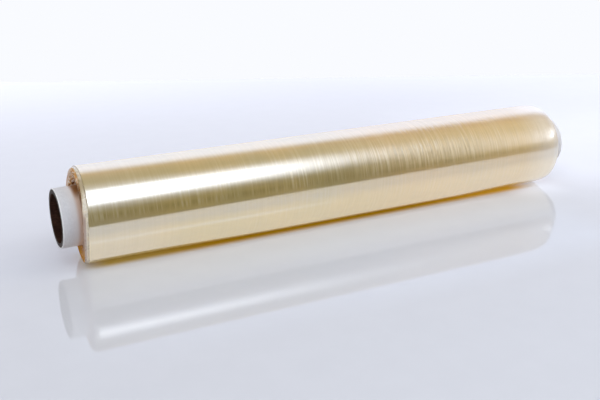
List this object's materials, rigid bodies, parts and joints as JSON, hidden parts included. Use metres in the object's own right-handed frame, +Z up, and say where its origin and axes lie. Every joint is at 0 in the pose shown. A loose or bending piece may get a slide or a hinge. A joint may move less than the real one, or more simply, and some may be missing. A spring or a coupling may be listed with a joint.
{
  "type": "roll of cling film",
  "caption": "Roll of glossy clear cling film wound on a paper core that stands out at both ends, lying on a small flat; the core's bore takes a dispenser's spindle.",
  "frame": {"origin": "under the middle of the core, on the surface the roll lies on", "axes": "+X along the roll's axis from the end with the shorter core overhang to the other, +Z up"},
  "size_m": [0.486, 0.076, 0.0757],
  "materials": {
    "core_paper": "matte white paper over brown board",
    "film": "glossy wound clear film, pale gold in the mass"
  },
  "bodies": {
    "root": {"core_tube": "core_paper", "film_roll": "film"}
  },
  "joints": []
}
